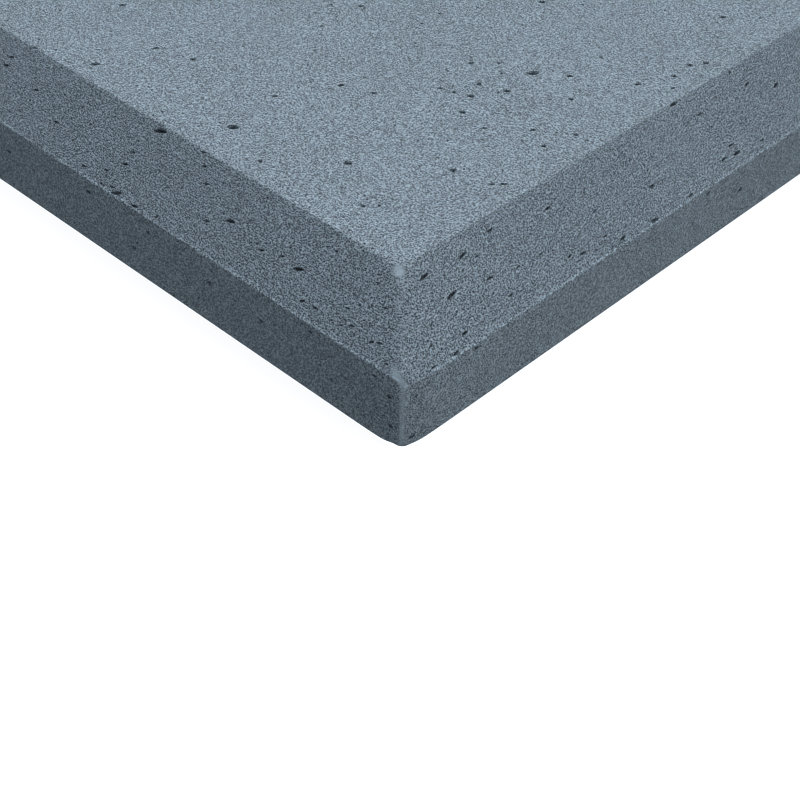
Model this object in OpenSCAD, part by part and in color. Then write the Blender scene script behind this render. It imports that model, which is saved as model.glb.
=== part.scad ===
// Bevelled melamine foam panel: one block of open-cell foam, cut to a flat back,
// four square sides and a bevel along each edge of the front face.
// The origin is the centre of the back face, which lies on the XY plane.
// +Z points out of the front face.

/* [Panel] */
// Length along X, at the back face
panel_length = 300; // [150:1:1200]
// Width along Y, at the back face
panel_width = 300; // [150:1:1200]
// Thickness from the back face to the front face
thickness = 50; // [35:1:100]

/* [Bevel] */
// Slope of the bevels, from the plane of the front face
bevel_angle = 45; // [30:1:60]
// Depth of the bevels on the two edges that run along X, from the front face down
bevel_depth_x = 23.9; // [10:0.1:30]
// Depth of the bevels on the two edges that run along Y, from the front face down
bevel_depth_y = 21.7; // [10:0.1:30]

/* [Softened edges] */
// Radius of the four upright corners
corner_radius = 3; // [1:0.5:10]
// Radius of the ridges above and below each bevel
ridge_radius = 1.2; // [0.4:0.1:4]
// Radius of the mitres, where two bevels meet at a corner
mitre_radius = 4; // [1:0.5:12]
// Radius of the edge round the back face
back_radius = 0.8; // [0.2:0.1:4]

/* [Hidden] */
$fn = 64;
foam_grey = [0.45, 0.51, 0.56];
// How far each cut runs on past the block
overrun = 10;
// How far a bevel reaches in from its side
bevel_run_x = bevel_depth_x / tan(bevel_angle);
bevel_run_y = bevel_depth_y / tan(bevel_angle);
// Half the front face, from the centre to the bevels along Y and to those along X
front_half_length = panel_length / 2 - bevel_run_y;
front_half_width = panel_width / 2 - bevel_run_x;
// A mitre falls towards its corner at this angle, and this is half the angle between its two bevels
mitre_fall = atan(tan(bevel_angle) / sqrt(2));
mitre_half_angle = 90 - acos(pow(cos(bevel_angle), 2)) / 2;
mitre_length = max(bevel_run_x, bevel_run_y) * sqrt(2) / cos(mitre_fall);

function unit(v) = v / norm(v);
// Angle at b between the ways to a and to c
function angle_at(a, b, c) = acos(unit(a - b) * unit(c - b));
// An arc of radius r in the corner at b starts this far along each side, and has this centre
function arc_start(a, b, c, r) = r / tan(angle_at(a, b, c) / 2);
function arc_centre(a, b, c, r) = b + unit(unit(a - b) + unit(c - b)) * r / sin(angle_at(a, b, c) / 2);

// Convex outline with round corners, from a list of [point, radius]
module rounded_outline(corners) {
    n = len(corners);
    before = [for (i = [0 : n - 1]) corners[(i + n - 1) % n][0]];
    here = [for (i = [0 : n - 1]) corners[i][0]];
    after = [for (i = [0 : n - 1]) corners[(i + 1) % n][0]];
    radius = [for (i = [0 : n - 1]) corners[i][1]];
    polygon([
        for (i = [0 : n - 1])
            let (start = arc_start(before[i], here[i], after[i], radius[i]))
            each [here[i] + unit(before[i] - here[i]) * start, here[i] + unit(after[i] - here[i]) * start]
    ]);
    for (i = [0 : n - 1])
        translate(arc_centre(before[i], here[i], after[i], radius[i]))
            circle(radius[i]);
}

// Section across a pair of opposite edges: flat back, square sides, bevels and front face
module section(width, front_half, bevel_depth) {
    half = width / 2;
    side_height = thickness - bevel_depth;
    rounded_outline([
        [[-half, 0], back_radius],
        [[half, 0], back_radius],
        [[half, side_height], ridge_radius],
        [[front_half, thickness], ridge_radius],
        [[-front_half, thickness], ridge_radius],
        [[-half, side_height], ridge_radius]
    ]);
}

// Outline of the back face
module plan() {
    x = panel_length / 2;
    y = panel_width / 2;
    rounded_outline([for (corner = [[-x, -y], [x, -y], [x, y], [-x, y]]) [corner, corner_radius]]);
}

// What rounding takes off a mitre, in section: the mitre is at the origin and the foam lies towards +X
module mitre_waste() {
    start = mitre_radius / tan(mitre_half_angle);
    x = start * cos(mitre_half_angle);
    y = start * sin(mitre_half_angle);
    difference() {
        polygon([[x, y], [-mitre_radius, y], [-mitre_radius, -y], [x, -y]]);
        translate([mitre_radius / sin(mitre_half_angle), 0])
            circle(mitre_radius);
    }
}

// The block with its two pairs of edges cut, one pair along Y and one along X, and its corners softened
module foam_panel() {
    color(foam_grey)
        difference() {
            intersection() {
                rotate([90, 0, 0])
                    linear_extrude(panel_width + 2 * overrun, center = true)
                        section(panel_length, front_half_length, bevel_depth_y);
                rotate([90, 0, 90])
                    linear_extrude(panel_length + 2 * overrun, center = true)
                        section(panel_width, front_half_width, bevel_depth_x);
                linear_extrude(thickness)
                    plan();
            }
            for (side_x = [-1, 1], side_y = [-1, 1])
                translate([side_x * front_half_length, side_y * front_half_width, thickness])
                    rotate([0, 90 + mitre_fall, atan2(side_y, side_x)])
                        translate([0, 0, -overrun])
                            linear_extrude(mitre_length + 2 * overrun)
                                mitre_waste();
        }
}

foam_panel();
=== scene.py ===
"""Bevelled melamine foam panel: a soft-edged block of open-cell foam, with the voids its cuts opened."""
import math

import bpy
import numpy as np
from mathutils import Matrix, Vector
from mathutils.geometry import delaunay_2d_cdt
from mathutils.kdtree import KDTree


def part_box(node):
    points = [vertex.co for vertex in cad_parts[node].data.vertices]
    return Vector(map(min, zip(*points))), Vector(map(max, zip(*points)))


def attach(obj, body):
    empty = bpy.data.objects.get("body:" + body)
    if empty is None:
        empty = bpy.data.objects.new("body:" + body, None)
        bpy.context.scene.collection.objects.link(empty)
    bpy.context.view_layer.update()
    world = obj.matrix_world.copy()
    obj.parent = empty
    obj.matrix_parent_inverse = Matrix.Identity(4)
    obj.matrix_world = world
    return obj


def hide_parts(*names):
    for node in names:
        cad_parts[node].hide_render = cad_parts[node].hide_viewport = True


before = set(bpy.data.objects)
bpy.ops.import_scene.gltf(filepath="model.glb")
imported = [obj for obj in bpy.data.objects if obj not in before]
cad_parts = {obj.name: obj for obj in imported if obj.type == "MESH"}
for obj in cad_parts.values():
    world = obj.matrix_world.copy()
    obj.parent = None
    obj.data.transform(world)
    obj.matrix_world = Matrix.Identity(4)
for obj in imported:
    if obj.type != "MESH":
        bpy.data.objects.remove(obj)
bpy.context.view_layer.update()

MM = 0.001
SEED = 7
SQUARE = ((-1, -1), (1, -1), (1, 1), (-1, 1))  # corners, anticlockwise

# The block, as the solid has it
_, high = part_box("foam_panel")
HALF_LENGTH = high.x
HALF_WIDTH = high.y
THICKNESS = high.z
BEVEL_ANGLE = math.radians(45)
BEVEL_DEPTH_X = 23.9 * MM  # on the edges that run along X
BEVEL_DEPTH_Y = 21.7 * MM  # on the edges that run along Y
LEVEL_NORMAL = 0.99  # a face whose normal stands up more than this lies level

# How far each kind of edge is rounded
EDGE_RADIUS = {
    "front": 0.6 * MM,
    "ridge": 0.8 * MM,
    "mitre": 4 * MM,
    "upright": 3 * MM,
    "back": 0.4 * MM,
}
RADIUS_EASE = 1.0 * MM  # how gently one edge's radius gives way to the next
RADIUS_POWER = 4
ROUNDING_ROUNDS = 40

# Where handling has rubbed the near corner. Tips: place in mm from that corner, radius and reach in mm.
# Ridge: three places in mm from that corner, on the slice that wear has taken off the near ridge's end.
# Lines: places in mm from that corner, half width in mm and how rubbed.
RUBBED_TIPS = (
    ((21.7, 23.9, 50), 9, 7),
    ((0, 1, 27), 5, 5),
    ((0, 1.5, 0), 3.4, 7),
)
WORN_RIDGE = ((14, 0, 26.1), (1, 1.8, 27.9), (2, 0, 0))
WORN_RIDGE_REACH = 8
RUBBED_LINES = (
    (((21.4, 24.3, 50), (21.0, 23.8, 49.5)), 2.7, 0.95),
    (((1.6, 6.6, 29.9), (0.6, 2.9, 28.8), (1.2, 0, 26.1)), 2.0, 0.9),
    (((21.7, 23.9, 50), (0, 2.2, 28.3)), 2.4, 0.3),
    (((0, 0.7, 26.1), (0, 0.7, 0)), 1.9, 0.72),
)
RUBBING_POWER = 4  # how abruptly rubbing ends at its half width
RUBBED_SHUT = 0.3  # no void is scattered where the surface is more rubbed than this

# The painted highlight, a light line along the ridges below the bevels: its distance from the ridge, and
# half width
HIGHLIGHT_LINE = (0.45 * MM, 0.4 * MM)

# How the surface is divided into triangles
EDGE_STEP = 1.6 * MM
CLOSE_STEP = 0.7 * MM
CLOSE_REACH = 6 * MM
FILL_STEP = 7 * MM
FILL_JITTER = 0.3  # of a step
FILL_MARGIN = 2.5 * MM
TIP_STEP = 0.8 * MM
EDGE_ROWS = {
    "front": (0.3 * MM, 0.65 * MM),
    "ridge": (0.3 * MM, 0.65 * MM, 1.15 * MM),
    "mitre": (0.8 * MM, 1.6 * MM, 2.5 * MM),
    "upright": (0.75 * MM, 1.5 * MM, 2.25 * MM, 3.1 * MM),
    "back": (0.4 * MM,),
}
ROW_KEPT = 0.95  # a row stops where another edge is nearer than this share of the row's offset
RING_GAP = 0.12 * MM
WELD = 1e-7
INSIDE_ONLY = 1  # the triangulation's choice to keep what lies inside the outline
SHARP_ANGLE = math.radians(40)

# Points round each ring of a void's dish, and where the rings lie: 1 at the rim, 0 in the middle
VOID_RINGS = {
    "fine": (7, (1.0, 0.6)),
    "open": (10, (1.0, 0.82, 0.45)),
    "long": (16, (1.0, 0.82, 0.45)),
}

# Voids: half their length, how large ones come rarer, and how they keep apart
FINE_VOID = (0.28 * MM, 0.45 * MM)
OPEN_VOID = (0.5 * MM, 1.8 * MM)
LONG_VOID = 1.0 * MM  # from here on a void counts as long
LARGEST_UNLISTED = 0.78 * MM  # largest that is scattered where the photograph shows the surface
SIZE_POWER = 5
FADED_ENDS = 1.15  # how much longer a void is than the part of it that looks dark
RIM_WAVES = (0.12, 0.08)  # most that a rim waves twice and three times round, of its reach
RIM_REACH = 1.5  # no rim comes this far out, in half lengths
RIM_MARGIN = 1.15  # the plain surface's points stay this far out, of the rim's reach
VOID_GAP = 1.3  # least distance between two voids, of their half lengths together

# By kind of face: how long short and long voids are for their width, how deep they are for half
# their width, and how many degrees they swing to either hand
VOID_STRETCH = {
    "front": ((1.0, 1.4), (1.3, 1.8)),
    "back": ((1.0, 1.4), (1.3, 1.8)),
    "bevel": ((1.5, 2.3), (3.0, 4.2)),
    "side": ((1.2, 1.7), (1.6, 2.1)),
}
VOID_DEPTH = {
    "front": (0.8, 1.1),
    "back": (0.8, 1.1),
    "bevel": (1.2, 1.8),
    "side": (0.3, 0.5),
}
VOID_SWING = {"front": 18, "back": 18, "bevel": 8, "side": 10}

# How many open and fine voids each kind of face has, to the square metre
VOIDS_PER_M2 = {
    "front": (5500, 6000),
    "back": (4000, 3000),
    "bevel": (12000, 10000),
    "side": (13000, 6000),
}

# The camera that took the photograph, a square one: the block's near corner is placed in the camera's axes
PHOTO_SIDE = 800
LENS_PIXELS = 1562
SENSOR = 36
CLIP_START = 0.01
FILTER_WIDTH = 1.1
AZIMUTH = math.radians(-48.09)
ELEVATION = math.radians(41.73)
ROLL = math.radians(2.60)
CORNER_FROM_CAMERA = Vector((0.60, -17.23, -499.85)) * MM
NEAR_CORNER = Vector((-HALF_LENGTH, -HALF_WIDTH, 0))

# How far the voids of a face are turned from its level line
VOID_TURN = {"front": AZIMUTH, "bevel_left": math.radians(16), "bevel_near": math.radians(4)}

# The voids that stand out in the photograph, by face: pixels across, pixels down and pixels long
SEEN_VOIDS = {
    "front": [
        (95, 64, 9), (122, 5, 7), (156, 48, 6), (193, 59, 6), (233, 127, 12), (260, 161, 5),
        (275, 96, 6), (322, 26, 5), (341, 85, 7), (348, 163, 8), (361, 6, 6), (363, 206, 6),
        (374, 93, 6), (440, 88, 6), (453, 170, 7), (454, 92, 5), (462, 112, 7),
        (471, 63, 6), (471, 96, 7), (479, 84, 6), (484, 128, 6), (492, 184, 6),
        (499, 63, 5), (503, 184, 6), (507, 91, 7), (533, 73, 11), (533, 130, 6), (542, 2, 7),
        (544, 146, 5), (570, 76, 6), (571, 99, 6), (576, 135, 5), (638, 84, 7),
        (673, 88, 5), (674, 76, 6), (690, 65, 6), (706, 63, 6), (723, 17, 6),
    ],
    "bevel_left": [
        (6, 65, 6), (11, 57, 6), (34, 47, 5), (36, 90, 6), (56, 122, 6), (84, 166, 5),
        (106, 170, 5), (112, 187, 5), (116, 193, 10), (125, 164, 7), (133, 152, 5),
        (134, 206, 8), (160, 131, 13), (203, 152, 6), (204, 166, 6), (207, 184, 6),
        (207, 221, 6), (230, 221, 10), (261, 250, 7), (282, 256, 6), (298, 269, 10),
        (302, 301, 6), (315, 308, 7), (347, 308, 6), (352, 326, 6), (371, 342, 6),
        (378, 283, 5), (379, 343, 6), (385, 308, 6),
    ],
    "side_left": [
        (9, 152, 5), (88, 192, 6), (134, 248, 5), (148, 233, 5), (209, 283, 5),
        (261, 321, 6), (310, 332, 5), (331, 380, 5), (374, 376, 5), (389, 397, 6),
        (390, 426, 6),
    ],
    "bevel_near": [
        (424, 277, 11), (431, 346, 6), (434, 367, 6), (452, 295, 13), (456, 353, 7),
        (463, 255, 10), (465, 333, 7), (477, 256, 5), (490, 230, 7), (490, 278, 7),
        (511, 295, 6), (518, 267, 6), (541, 254, 5), (548, 208, 7), (570, 256, 6),
        (583, 253, 7), (595, 211, 5), (605, 236, 5), (623, 238, 6), (652, 186, 6),
        (655, 220, 8), (674, 104, 7), (691, 195, 6), (700, 114, 6), (724, 159, 6),
        (731, 145, 6), (737, 153, 7), (747, 84, 6), (762, 140, 5), (776, 85, 6),
    ],
    "side_near": [
        (412, 437, 7), (418, 397, 5), (477, 348, 6), (708, 194, 5), (740, 190, 6),
    ],
}

# Where each face lies on the piece's map, a square sheet: x and y in mm, quarter turned or not, scale
SHEET = 432 * MM
SHEET_PLACES = {
    "front": (2, 2, False, 1.0),
    "bevel_near": (262, 2, True, 1.0),
    "bevel_far": (299, 2, True, 1.0),
    "bevel_left": (336, 2, True, 1.0),
    "bevel_right": (369, 2, True, 1.0),
    "side_left": (402, 2, True, 1.0),
    "side_right": (130, 306, False, 1.0),
    "side_near": (130, 338, False, 1.0),
    "side_far": (130, 368, False, 1.0),
    "back": (2, 306, False, 0.41),
}

# The foam's colour and grain: cells and finer noise added up, held between limits, hollows deepened
FOAM = (0.247, 0.307, 0.357)
FOAM_ROUGHNESS = 0.95
FOAM_SPECULAR = 0.12
CELL_SIZE = 0.62 * MM
CELL_FLATNESS = 1.15
CELL_RANDOMNESS = 0.85
CELL_WEIGHT = 1.95
GRAIN_PER_CELL = 1.5
GRAIN_WEIGHT = 1.38
GRAIN_MEAN = 1.675
GRAIN_LIMITS = (-0.75, 0.85)
HOLLOW_WEIGHT = 0.5
DARKEST_GRAIN = 0.2
BUMP_STRENGTH = 0.5
BUMP_HEIGHT = 0.3 * MM

# Pits scattered in the grain: how far apart and flat they are, how far they reach, and how deep they are
PIT_SPACING = 1.9 * MM
PIT_FLATNESS = 2.2
PIT_POWER = 2.3
PIT_LEAST_REACH = 0.12
PIT_MORE_REACH = 0.30
PIT_WEIGHT = 0.6

# Noises, in waves to the metre: soft clouds, mottled rubbing, and specks in the painted highlight along the
# ridges
CLOUD_SCALE = 24.0
MOTTLE_SCALE = 420.0
SPECK_SCALE = 500.0

# What a pattern or a rubbing does: the range it is read over, and what comes of it at either end
CLOUD_TONE = (0.3, 0.7, 0.97, 1.03)
MOTTLE_RUBBING = (0.3, 0.7, 0.86, 1.08)
PIT_EDGE = (0.5, 1.0, 1.0, 0.0)
RUBBED_GRAIN = (0.0, 1.0, 1.0, 0.12)
RUBBED_TONE = (0.45, 1.0, 1.0, 1.6)
# Painted shade: the voids darkened towards their middles, as the shade inside them would
VOID_PAINTED_SHADE = (0.0, 0.9, 1.0, 0.24)
# Painted highlight: specks along the light line above the ridges
SPECK_HIGHLIGHT = (0.38, 0.64, 0.2, 0.58)

# Floor and lights: what the camera sees of the floor, and the even light that the floor throws elsewhere
FLOOR_REACH = 20.0
FLOOR_COLOUR = (0.5, 0.5, 0.5, 1)
FLOOR_SEEN = 0.85
FLOOR_LIGHT = 0.23
WHITE = (1, 1, 1, 1)
BACKDROP = (0.93, 1.0, 1.07)
BACKDROP_SEEN = 1.2
AMBIENT = 0.37
LAMPS = {"key": ((0.445, 0.505, 0.739), 2.2), "fill": ((0.30, -0.85, 0.43), 0.70)}  # from where, how strong
LIGHT_SPREAD = math.radians(40)


def unit(v):
    """v, one long."""
    return v / np.linalg.norm(v, axis=-1, keepdims=True)


class Face:
    """One flat cut of the block, with its own axes along it and up it."""

    def __init__(self, name, normal, point):
        self.name = name
        self.kind = name.split("_")[0]
        self.normal = unit(np.array(normal, float))
        self.offset = float(self.normal @ np.array(point, float))
        upright = abs(self.normal[2]) < LEVEL_NORMAL
        self.along = unit(np.cross((0, 0, 1), self.normal)) if upright else np.array((1.0, 0, 0))
        self.up = np.cross(self.normal, self.along)
        self.outline = None
        self.edge_kinds = []

    def flat(self, points):
        """Places on the face, in its own two axes."""
        return np.stack([points @ self.along, points @ self.up], -1)

    def solid(self, spots):
        """Spots on the face, back in the block's frame."""
        return spots[..., :1] * self.along + spots[..., 1:] * self.up + self.offset * self.normal

    def depth_inside(self, spots):
        """How far each spot lies inside the outline, and negative outside it."""
        turned = np.roll(self.outline, -1, axis=0)
        way = unit(turned - self.outline)
        inward = np.stack([-way[:, 1], way[:, 0]], 1)
        return np.min([(spots - corner) @ n for corner, n in zip(self.outline, inward)], axis=0)


def cut_faces():
    """The block's faces: front, back, and a side and a bevel on each edge."""
    run = math.tan(BEVEL_ANGLE)
    faces = [Face("front", (0, 0, 1), (0, 0, THICKNESS)), Face("back", (0, 0, -1), (0, 0, 0))]
    edges = {
        "left": ((-1, 0), HALF_LENGTH, BEVEL_DEPTH_Y),
        "right": ((1, 0), HALF_LENGTH, BEVEL_DEPTH_Y),
        "near": ((0, -1), HALF_WIDTH, BEVEL_DEPTH_X),
        "far": ((0, 1), HALF_WIDTH, BEVEL_DEPTH_X),
    }
    for name, (way, half, depth) in edges.items():
        ridge = (way[0] * half, way[1] * half, THICKNESS - depth)
        faces.append(Face("side_" + name, (*way, 0), ridge))
        faces.append(Face("bevel_" + name, (way[0] * run, way[1] * run, 1), ridge))
    for face in faces:
        face.outline = outline_of(face, faces)
    return faces


def outline_of(face, faces):
    """Corners of a face in its own axes, anticlockwise: a large square, cut by the other faces' planes."""
    reach = 4 * (HALF_LENGTH + HALF_WIDTH)
    corners = [reach * np.array(corner, float) for corner in SQUARE]
    for other in faces:
        if other is face:
            continue
        beyond = [float(face.solid(c) @ other.normal - other.offset) for c in corners]
        kept = []
        for i, corner in enumerate(corners):
            j = (i + 1) % len(corners)
            if beyond[i] <= 0:
                kept.append(corner)
            if (beyond[i] < 0) != (beyond[j] < 0) and beyond[i] * beyond[j] < 0:
                share = beyond[i] / (beyond[i] - beyond[j])
                kept.append(corner + share * (corners[j] - corner))
        corners = kept
    return np.array(corners)


def kind_of(a, b):
    """What kind of edge two faces meet in."""
    for name in ("front", "back"):
        if name in (a, b):
            return name
    if a.startswith("bevel") and b.startswith("bevel"):
        return "mitre"
    if a.startswith("side") and b.startswith("side"):
        return "upright"
    return "ridge"


def block_edges(faces):
    """Each edge once, as its kind and two ends. Every face also learns the kinds of its own edges."""
    found = {}
    for face in faces:
        ends = face.solid(face.outline)
        for start, end in zip(ends, np.roll(ends, -1, axis=0)):
            middle = (start + end) / 2
            others = [f for f in faces if f is not face]
            mate = min(others, key=lambda f: abs(middle @ f.normal - f.offset))
            kind = kind_of(face.name, mate.name)
            face.edge_kinds.append(kind)
            found[frozenset((face.name, mate.name))] = (kind, start, end)
    return list(found.values())


def stations(length):
    """Distances along an edge, closer together near its ends."""
    close = np.arange(0, min(CLOSE_REACH, length / 2), CLOSE_STEP)
    count = max(1, round((length - 2 * close[-1]) / EDGE_STEP))
    middle = np.linspace(close[-1], length - close[-1], count + 1)[1:-1]
    return np.concatenate([close, middle, length - close[::-1]])


def edge_points(face):
    """The outline divided along its edges, and the rows of points that each edge's rounding needs."""
    rim, rows = [], []
    for start, end, kind in zip(face.outline, np.roll(face.outline, -1, axis=0), face.edge_kinds):
        way = end - start
        length = np.linalg.norm(way)
        way = way / length
        inward = np.array((-way[1], way[0]))
        along = stations(length)
        points = start + along[:, None] * way
        rim.append(points[:-1])
        for offset in EDGE_ROWS[kind]:
            row = points + offset * inward
            rows.append(row[face.depth_inside(row) > ROW_KEPT * offset])
    return np.concatenate(rim), np.concatenate(rows)


class Void:
    """A bubble that a cut has opened: an oval dish with an uneven rim, in the axes of its face."""

    def __init__(self, face, spot, half_length, stretch, turn, depth, waves):
        self.face = face
        self.spot = spot
        self.half_length = half_length
        self.half_width = half_length / stretch
        self.turn = turn
        self.depth = depth * self.half_width
        self.waves = waves

    def rim(self, angle):
        """How far out the rim is at an angle, as a share of the oval's own reach."""
        two, three, phase_two, phase_three = self.waves
        return 1 + two * np.cos(2 * angle + phase_two) + three * np.cos(3 * angle + phase_three)

    def share(self, across, up):
        """How far out places are, 0 in the middle and 1 at the rim, by their offsets on the face."""
        c, s = math.cos(self.turn), math.sin(self.turn)
        a = (across * c + up * s) / self.half_length
        b = (up * c - across * s) / self.half_width
        return np.hypot(a, b) / self.rim(np.arctan2(b, a))

    def rings(self):
        """Points on the face for the dish: its rim, the rings inside it and its middle."""
        size = "open"
        if self.half_length > LONG_VOID:
            size = "long"
        elif self.half_length < FINE_VOID[1]:
            size = "fine"
        count, rings = VOID_RINGS[size]
        found = [np.zeros((1, 2))]
        for ring in rings:
            angle = np.arange(count) * math.tau / count + (ring < 1) * math.pi / count
            reach = ring * self.rim(angle)
            found.append(np.stack([
                self.half_length * reach * np.cos(angle), self.half_width * reach * np.sin(angle)
            ], 1))
        c, s = math.cos(self.turn), math.sin(self.turn)
        return np.concatenate(found) @ np.array(((c, s), (-s, c))) + self.spot


def camera_axes():
    """The camera's right, up and back."""
    level = math.cos(ELEVATION)
    back = Vector((math.sin(AZIMUTH) * level, -math.cos(AZIMUTH) * level, math.sin(ELEVATION)))
    right = Vector((math.cos(AZIMUTH), math.sin(AZIMUTH), 0))
    up = back.cross(right)
    c, s = math.cos(ROLL), math.sin(ROLL)
    return c * right + s * up, c * up - s * right, back


def camera_place():
    """Where the camera stands."""
    right, up, back = camera_axes()
    x, y, z = CORNER_FROM_CAMERA
    return NEAR_CORNER - (x * right + y * up + z * back)


def spot_in_photo(face, across, down):
    """The spot on a face that a pixel of the photograph shows."""
    right, up, back = camera_axes()
    middle = PHOTO_SIDE / 2
    ray = np.array((across - middle) * right + (middle - down) * up - LENS_PIXELS * back)
    eye = np.array(camera_place())
    reach = (face.offset - eye @ face.normal) / (ray @ face.normal)
    return face.flat(eye + reach * ray)


def pixel_of(point):
    """Where the photograph shows a place: pixels across and pixels down."""
    away = Vector(point) - camera_place()
    across, up, back = (away.dot(axis) for axis in camera_axes())
    return np.array((across, -up)) * LENS_PIXELS / -back + PHOTO_SIDE / 2


def in_photo(face, spot):
    """Whether the photograph shows a spot on a face."""
    pixel = pixel_of(face.solid(spot))
    return face.name in SEEN_VOIDS and 0 < pixel.min() and pixel.max() < PHOTO_SIDE


def seen_length(face, spot, pixels):
    """How long a void at a spot is, if the photograph shows it so many pixels long."""
    turn = VOID_TURN.get(face.name, 0)
    step = np.array((math.cos(turn), math.sin(turn))) * MM
    start, end = (pixel_of(face.solid(spot + side * step)) for side in (-0.5, 0.5))
    return FADED_ENDS * pixels * MM / np.linalg.norm(end - start)


def make_void(rng, face, spot, half_length):
    """A void at a spot, shaped as its kind of face has them: slits on a bevel, and ovals elsewhere."""
    short, long = VOID_STRETCH[face.kind]
    swing = math.radians(VOID_SWING[face.kind])
    stretch = rng.uniform(*(long if half_length > LONG_VOID else short))
    depth = rng.uniform(*VOID_DEPTH[face.kind])
    turn = VOID_TURN.get(face.name, 0) + rng.uniform(-swing, swing)
    twice, thrice = (rng.uniform(0, most) for most in RIM_WAVES)
    waves = (twice, thrice, *rng.uniform(0, math.tau, 2))
    return Void(face, spot, half_length, stretch, turn, depth, waves)


def scatter_voids(rng, face):
    """The voids of one face: those that stand out in the photograph, then scattered open and fine ones."""
    voids = []
    for across, down, pixels in SEEN_VOIDS.get(face.name, ()):
        spot = spot_in_photo(face, across, down)
        voids.append(make_void(rng, face, spot, seen_length(face, spot, pixels) / 2))
    corner = face.outline.min(0)
    size = np.ptp(face.outline, axis=0)
    for reach, density in zip((OPEN_VOID, FINE_VOID), VOIDS_PER_M2[face.kind]):
        for _ in range(round(size.prod() * density)):
            spot = corner + rng.uniform(0, 1, 2) * size
            half_length = reach[0] + (reach[1] - reach[0]) * rng.uniform(0, 1) ** SIZE_POWER
            void = make_void(rng, face, spot, half_length)
            if face.depth_inside(spot) < half_length or rubbing(face.solid(spot)[None])[0] > RUBBED_SHUT:
                continue
            if half_length > LARGEST_UNLISTED and in_photo(face, spot):
                continue
            if all(np.hypot(*(spot - v.spot)) > VOID_GAP * (half_length + v.half_length) for v in voids):
                voids.append(void)
    return voids


def fill_points(rng, face, voids):
    """Points that carry the plain surface between the voids."""
    lowest = face.outline.min(0)
    size = np.ptp(face.outline, axis=0)
    count = np.maximum(np.ceil(size / FILL_STEP).astype(int), 1)
    middles = [np.arange(n) + 0.5 for n in count]
    grid = np.stack(np.meshgrid(*middles, indexing="ij"), -1).reshape(-1, 2)
    spots = lowest + (grid + rng.uniform(-FILL_JITTER, FILL_JITTER, grid.shape)) * size / count
    return clear_of(voids, spots[face.depth_inside(spots) > FILL_MARGIN])


def tip_points(face, voids):
    """Points that carry the rounding of the rubbed tips and of the worn ridge's end."""
    found = []
    worn = [(place, reach) for place, _, reach in RUBBED_TIPS]
    worn.append((np.mean(WORN_RIDGE[:2], axis=0), WORN_RIDGE_REACH))
    for place, reach in worn:
        tip = face.flat(np.array(NEAR_CORNER) + np.array(place) * MM)
        steps = np.arange(-reach * MM, reach * MM, TIP_STEP)
        spots = np.stack(np.meshgrid(steps, steps), -1).reshape(-1, 2)
        spots[:, 0] += TIP_STEP / 2 * (np.round(spots[:, 1] / TIP_STEP) % 2)
        spots = spots + tip
        away = face.solid(spots) - np.array(NEAR_CORNER) - np.array(place) * MM
        near = np.linalg.norm(away, axis=1) < reach * MM
        found.append(spots[near & (face.depth_inside(spots) > TIP_STEP / 2)])
    return clear_of(voids, np.concatenate(found))


def clear_of(voids, spots):
    """The spots that lie outside every void."""
    kept = np.ones(len(spots), bool)
    for void in voids:
        near = np.abs(spots - void.spot).max(1) < RIM_REACH * void.half_length
        away = spots[near] - void.spot
        kept[near] &= void.share(away[:, 0], away[:, 1]) > RIM_MARGIN
    return spots[kept]


def triangulated(face, voids, rng):
    """The face's points and triangles, in its own axes."""
    rim, rows = edge_points(face)
    rings = np.concatenate([void.rings() for void in voids])
    rings = rings[face.depth_inside(rings) > RING_GAP]
    points = np.concatenate([
        rim, clear_of(voids, rows), rings, fill_points(rng, face, voids), tip_points(face, voids)
    ])
    outline = list(range(len(rim)))
    spots, _, corners, *_ = delaunay_2d_cdt([Vector(p) for p in points], [], [outline], INSIDE_ONLY, WELD)
    return np.array([tuple(spot) for spot in spots]), np.array(corners)


def edge_distances(points, edges):
    """Distance of each point from each edge."""
    found = []
    for _, start, end in edges:
        way = end - start
        share = np.clip((points - start) @ way / (way @ way), 0, 1)
        found.append(np.linalg.norm(points - start - share[:, None] * way, axis=1))
    return np.stack(found, 1)


def rubbing(points):
    """How rubbed the surface is at each point, from 0 to 1."""
    found = np.zeros(len(points))
    for line, half_width, strength in RUBBED_LINES:
        ends = np.array(NEAR_CORNER) + np.array(line) * MM
        pairs = [("rubbed", start, end) for start, end in zip(ends, ends[1:])]
        away = edge_distances(points, pairs).min(1) / (half_width * MM)
        found = np.maximum(found, strength * np.exp(-(away ** RUBBING_POWER)))
    return found


def painted_ridge_highlight(points, edges):
    """How strongly the painted highlight lies just above the ridges between bevels and sides, from 0 to 1.
    """
    ridges = [edge for edge in edges if edge[0] == "ridge"]
    away = edge_distances(points, ridges)
    heights = np.array([start[2] for _, start, _ in ridges])[away.argmin(1)]
    above = points[:, 2] > heights - RING_GAP
    return above * np.exp(-(((away.min(1) - HIGHLIGHT_LINE[0]) / HIGHLIGHT_LINE[1]) ** 2))


def local_radius(points, edges):
    """The radius that each point is rounded to: that of the edges near it, and more at a rubbed tip."""
    radii = np.array([EDGE_RADIUS[kind] for kind, _, _ in edges])
    weight = (radii / (edge_distances(points, edges) + RADIUS_EASE)) ** RADIUS_POWER
    radius = weight @ radii / weight.sum(1)
    for place, ball, reach in RUBBED_TIPS:
        offsets = points - np.array(NEAR_CORNER) - np.array(place) * MM
        away = np.linalg.norm(offsets, axis=1) / (reach * MM)
        ease = np.clip(1 - away, 0, 1) ** 2 * (1 + 2 * np.clip(away, 0, 1))
        radius = radius + ease * np.maximum(ball * MM - radius, 0)
    return radius


def worn_slice():
    """The slice that wear has taken off the end of the near ridge, as a face."""
    along, upper, lower = np.array(NEAR_CORNER) + np.array(WORN_RIDGE) * MM
    return Face("worn_ridge", np.cross(upper - along, lower - along), along)


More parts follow.
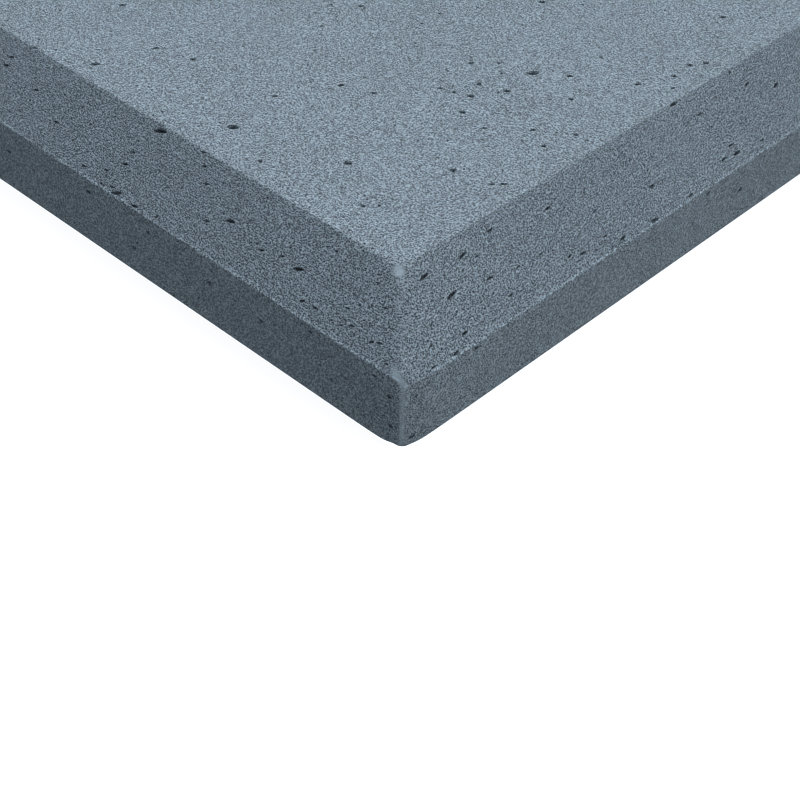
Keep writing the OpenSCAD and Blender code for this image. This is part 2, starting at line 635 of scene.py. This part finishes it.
def rounded(points, edges, faces):
    """Points of the sharp block moved onto its rounded surface, and which way is out there.

    A point's ball, of the radius that its place has, is pushed inside every face."""
    faces = [*faces, worn_slice()]
    radius = local_radius(points, edges)
    core = points.copy()
    carried = np.zeros((len(faces), *points.shape))
    for _ in range(ROUNDING_ROUNDS):
        for i, face in enumerate(faces):
            aim = core + carried[i]
            over = np.maximum(aim @ face.normal - face.offset + radius, 0)
            core = aim - over[:, None] * face.normal
            carried[i] = aim - core
    out = unit(points - core)
    return core + radius[:, None] * out, out


def open_voids(points, voids, edges, faces):
    """Pushes the points inside each void down to its dish, and returns how deep in its void each lies,
    which sets the painted shade there.
    """
    tree = KDTree(len(points))
    for i, point in enumerate(points):
        tree.insert(point, i)
    tree.balance()
    centres, outs = rounded(np.array([void.face.solid(void.spot) for void in voids]), edges, faces)
    shade = np.zeros(len(points))
    for void, centre, out in zip(voids, centres, outs):
        near = np.array([i for _, i, _ in tree.find_range(centre, RIM_REACH * void.half_length)], int)
        if not len(near):
            continue
        away = points[near] - centre
        along = unit(void.face.along - (void.face.along @ out) * out)
        share = void.share(away @ along, away @ np.cross(out, along))
        inside = share < 1
        near, away = near[inside], away[inside]
        dish = np.sqrt(1 - share[inside] ** 2)
        level = away @ out
        sunk = np.minimum(level, -void.depth * dish)
        points[near] += (sunk - level)[:, None] * out
        shade[near] = np.maximum(shade[near], dish)
    return shade


def sheet_spots(face, spots):
    """Where a face's spots lie on the piece's map, from 0 to 1."""
    x, y, turned, scale = SHEET_PLACES[face.name]
    local = (spots - face.outline.min(0)) * scale
    if turned:
        local = np.stack([np.ptp(face.outline[:, 1]) * scale - local[:, 1], local[:, 0]], 1)
    return (local + np.array((x, y)) * MM) / SHEET


def build_panel():
    """The foam panel as one mesh."""
    rng = np.random.default_rng(SEED)
    faces = cut_faces()
    edges = block_edges(faces)
    places, triangles, map_spots, voids, count = [], [], [], [], 0
    for face in faces:
        here = scatter_voids(rng, face)
        spots, corners = triangulated(face, here, rng)
        places.append(face.solid(spots))
        triangles.append(corners + count)
        map_spots.append(sheet_spots(face, spots)[corners.ravel()])
        voids += here
        count += len(spots)
    every = np.concatenate(places)
    steps = np.round(every / WELD)
    _, first, welded = np.unique(steps, axis=0, return_index=True, return_inverse=True)
    sharp = every[first]
    triangles = welded.ravel()[np.concatenate(triangles)]
    points, _ = rounded(sharp, edges, faces)
    shade = open_voids(points, voids, edges, faces)
    # A painted highlight just above the ridges
    highlight = painted_ridge_highlight(sharp, edges)

    mesh = bpy.data.meshes.new("foam_panel_cut")
    mesh.from_pydata(points.tolist(), [], triangles.tolist())
    layer = mesh.uv_layers.new(name="OFBake")
    layer.uv.foreach_set("vector", np.concatenate(map_spots).astype(np.float32).ravel())
    # The voids' depth drives their painted shade, and the line above the ridges a painted highlight
    for name, values in (("void_depth", shade), ("ridge_highlight", highlight), ("rubbed", rubbing(sharp))):
        mesh.attributes.new(name, "FLOAT", "POINT").data.foreach_set("value", values.astype(np.float32))
    mesh.shade_smooth()
    mesh.set_sharp_from_angle(angle=SHARP_ANGLE)
    mesh.validate()
    panel = bpy.data.objects.new("foam_block", mesh)
    bpy.context.scene.collection.objects.link(panel)
    return panel


class Nodes:
    """Places shader nodes in a tree and joins them."""

    def __init__(self, tree):
        self.tree = tree

    def add(self, kind, **settings):
        """A node with its settings, and with its inputs, by name, joined or set."""
        node = self.tree.nodes.new(kind)
        inputs = settings.pop("inputs", {})
        for name, value in settings.items():
            setattr(node, name, value)
        for name, value in inputs.items():
            self.join(value, node.inputs[name])
        return node

    def join(self, value, socket):
        """Joins an output to an input, or sets the input to a plain value."""
        if isinstance(value, bpy.types.NodeSocket):
            self.tree.links.new(value, socket)
        else:
            socket.default_value = value

    def maths(self, operation, *values):
        """The result of a Math node."""
        node = self.tree.nodes.new("ShaderNodeMath")
        node.operation = operation
        for value, socket in zip(values, node.inputs):
            self.join(value, socket)
        return node.outputs[0]

    def ranged(self, value, start, end, low_value, high_value):
        """value eased from one range to another, and held at its ends."""
        node = self.add("ShaderNodeMapRange", interpolation_type="SMOOTHSTEP", inputs={
            "Value": value, "From Min": start, "From Max": end,
            "To Min": low_value, "To Max": high_value,
        })
        return node.outputs["Result"]

    def noise(self, place, scale, **inputs):
        """The strength of a Noise texture."""
        node = self.add("ShaderNodeTexNoise", inputs={"Vector": place, "Scale": scale, **inputs})
        return node.outputs[0]

    def flattened(self, place, flatness):
        """A place for a pattern that lies flatter than it is wide."""
        node = self.add("ShaderNodeMapping", inputs={"Vector": place, "Scale": (1, 1, flatness)})
        return node.outputs["Vector"]

    def painted(self, name):
        """A value that the mesh carries at its points."""
        return self.add("ShaderNodeAttribute", attribute_name=name).outputs["Fac"]


def cut_foam():
    """Cut open-cell foam: pale cell walls round dark cells, pits, voids darkened by painted shade, a
    painted highlight along the ridges, and rubbed edges.
    """
    material = bpy.data.materials.new("cut_foam")
    material.use_nodes = True
    tree = material.node_tree
    tree.nodes.clear()
    nodes = Nodes(tree)
    maths = nodes.maths
    place = nodes.add("ShaderNodeTexCoord").outputs["Object"]

    cell_place = nodes.flattened(place, CELL_FLATNESS)
    cells = nodes.add("ShaderNodeTexVoronoi", feature="F1", inputs={
        "Vector": cell_place, "Scale": 1 / CELL_SIZE, "Randomness": CELL_RANDOMNESS,
    }).outputs["Distance"]
    grain = nodes.noise(cell_place, GRAIN_PER_CELL / CELL_SIZE, Detail=1.0, Roughness=0.5)
    relief = maths("ADD", maths("MULTIPLY", cells, CELL_WEIGHT), maths("MULTIPLY", grain, GRAIN_WEIGHT))
    relief = maths("MAXIMUM", maths("SUBTRACT", relief, GRAIN_MEAN), GRAIN_LIMITS[0])
    relief = maths("MINIMUM", relief, GRAIN_LIMITS[1])
    hollow = maths("MINIMUM", relief, 0.0)
    relief = maths("ADD", relief, maths("MULTIPLY", hollow, HOLLOW_WEIGHT))

    pits = nodes.add("ShaderNodeTexVoronoi", feature="F1", inputs={
        "Vector": nodes.flattened(place, PIT_FLATNESS), "Scale": 1 / PIT_SPACING, "Randomness": 1.0,
    })
    draw = nodes.add("ShaderNodeSeparateColor", inputs={"Color": pits.outputs["Color"]}).outputs[0]
    pit_reach = maths("MULTIPLY_ADD", maths("POWER", draw, PIT_POWER), PIT_MORE_REACH, PIT_LEAST_REACH)
    pit = nodes.ranged(maths("DIVIDE", pits.outputs["Distance"], pit_reach), *PIT_EDGE)
    relief = maths("SUBTRACT", relief, maths("MULTIPLY", pit, PIT_WEIGHT))

    mottle = nodes.noise(place, MOTTLE_SCALE, Detail=2.0)
    rubbed = maths("MULTIPLY", nodes.painted("rubbed"), nodes.ranged(mottle, *MOTTLE_RUBBING))
    relief = maths("MULTIPLY", relief, nodes.ranged(rubbed, *RUBBED_GRAIN))

    cloud = nodes.noise(place, CLOUD_SCALE, Detail=3.0)
    specks = nodes.noise(place, SPECK_SCALE, Detail=1.0)
    # Painted highlight: a specked light line just above the ridges
    painted_highlight = maths("MULTIPLY", nodes.painted("ridge_highlight"), nodes.ranged(specks, *SPECK_HIGHLIGHT))
    tone = maths("MAXIMUM", maths("ADD", relief, 1.0), DARKEST_GRAIN)
    tone = maths("MULTIPLY", tone, nodes.ranged(cloud, *CLOUD_TONE))
    # Painted shade, darkening each void towards its middle
    tone = maths("MULTIPLY", tone, nodes.ranged(nodes.painted("void_depth"), *VOID_PAINTED_SHADE))
    tone = maths("MULTIPLY", tone, maths("ADD", painted_highlight, 1.0))
    tone = maths("MULTIPLY", tone, nodes.ranged(rubbed, *RUBBED_TONE))
    colour = nodes.add("ShaderNodeVectorMath", operation="SCALE", inputs={"Scale": tone})
    colour.inputs[0].default_value = FOAM
    bump = nodes.add("ShaderNodeBump", inputs={
        "Height": relief, "Strength": BUMP_STRENGTH, "Distance": BUMP_HEIGHT,
    })
    surface = nodes.add("ShaderNodeBsdfPrincipled", inputs={
        "Base Color": colour.outputs["Vector"], "Roughness": FOAM_ROUGHNESS,
        "Specular IOR Level": FOAM_SPECULAR, "Normal": bump.outputs["Normal"],
    })
    out = nodes.add("ShaderNodeOutputMaterial")
    tree.links.new(surface.outputs["BSDF"], out.inputs["Surface"])
    return material


def pale_floor():
    """A pale floor: nearly white to the camera, throwing an even light elsewhere, and clear from below."""
    material = bpy.data.materials.new("pale_floor")
    material.use_nodes = True
    tree = material.node_tree
    tree.nodes.clear()
    nodes = Nodes(tree)
    path = nodes.add("ShaderNodeLightPath")
    side = nodes.add("ShaderNodeNewGeometry")
    seen = nodes.add("ShaderNodeAddShader")
    diffuse = nodes.add("ShaderNodeBsdfDiffuse", inputs={"Color": FLOOR_COLOUR})
    glow = nodes.add("ShaderNodeEmission", inputs={"Color": WHITE, "Strength": FLOOR_SEEN})
    dull = nodes.add("ShaderNodeEmission", inputs={"Color": WHITE, "Strength": FLOOR_LIGHT})
    clear = nodes.add("ShaderNodeBsdfTransparent")
    tree.links.new(diffuse.outputs[0], seen.inputs[0])
    tree.links.new(glow.outputs[0], seen.inputs[1])
    lit = nodes.add("ShaderNodeMixShader", inputs={"Fac": path.outputs["Is Camera Ray"]})
    tree.links.new(dull.outputs[0], lit.inputs[1])
    tree.links.new(seen.outputs[0], lit.inputs[2])
    shown = nodes.add("ShaderNodeMixShader", inputs={"Fac": side.outputs["Backfacing"]})
    tree.links.new(lit.outputs[0], shown.inputs[1])
    tree.links.new(clear.outputs[0], shown.inputs[2])
    out = nodes.add("ShaderNodeOutputMaterial")
    tree.links.new(shown.outputs[0], out.inputs["Surface"])
    return material


def build_stage():
    """Floor, open under the panel so that light reaches the back, the light around it and two lamps."""
    corners = [(x * FLOOR_REACH, y * FLOOR_REACH, 0) for x, y in SQUARE]
    corners += [(x * HALF_LENGTH, y * HALF_WIDTH, 0) for x, y in SQUARE]
    mesh = bpy.data.meshes.new("floor")
    mesh.from_pydata(corners, [], [(i, (i + 1) % 4, (i + 1) % 4 + 4, i + 4) for i in range(4)])
    floor = bpy.data.objects.new("floor", mesh)
    floor.data.materials.append(pale_floor())
    bpy.context.scene.collection.objects.link(floor)

    world = bpy.data.worlds.new("studio")
    bpy.context.scene.world = world
    world.use_nodes = True
    tree = world.node_tree
    tree.nodes.clear()
    nodes = Nodes(tree)
    path = nodes.add("ShaderNodeLightPath")
    seen_more = BACKDROP_SEEN - AMBIENT
    strength = nodes.maths("MULTIPLY_ADD", path.outputs["Is Camera Ray"], seen_more, AMBIENT)
    around = nodes.add("ShaderNodeBackground", inputs={"Color": (*BACKDROP, 1), "Strength": strength})
    out = nodes.add("ShaderNodeOutputWorld")
    tree.links.new(around.outputs[0], out.inputs["Surface"])

    for name, (source, energy) in LAMPS.items():
        lamp = bpy.data.lights.new(name, "SUN")
        lamp.energy = energy
        lamp.angle = LIGHT_SPREAD
        holder = bpy.data.objects.new(name, lamp)
        holder.rotation_mode = "QUATERNION"
        holder.rotation_quaternion = (-Vector(source)).to_track_quat("-Z", "Y")
        holder.location = Vector(source)
        bpy.context.scene.collection.objects.link(holder)


def build_camera():
    """The camera, where the photograph was taken from."""
    lens = bpy.data.cameras.new("photo_camera")
    lens.sensor_width = SENSOR
    lens.lens = LENS_PIXELS / PHOTO_SIDE * SENSOR
    lens.clip_start = CLIP_START
    camera = bpy.data.objects.new("photo_camera", lens)
    right, up, back = camera_axes()
    turn = Matrix((right, up, back)).transposed().to_4x4()
    camera.matrix_world = Matrix.Translation(camera_place()) @ turn
    bpy.context.scene.collection.objects.link(camera)
    bpy.context.scene.camera = camera


build_camera()
build_stage()
panel = build_panel()
panel.data.materials.append(cut_foam())
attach(panel, "root")
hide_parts("foam_panel")
bpy.context.scene.view_settings.view_transform = "Standard"
bpy.context.scene.cycles.filter_width = FILTER_WIDTH
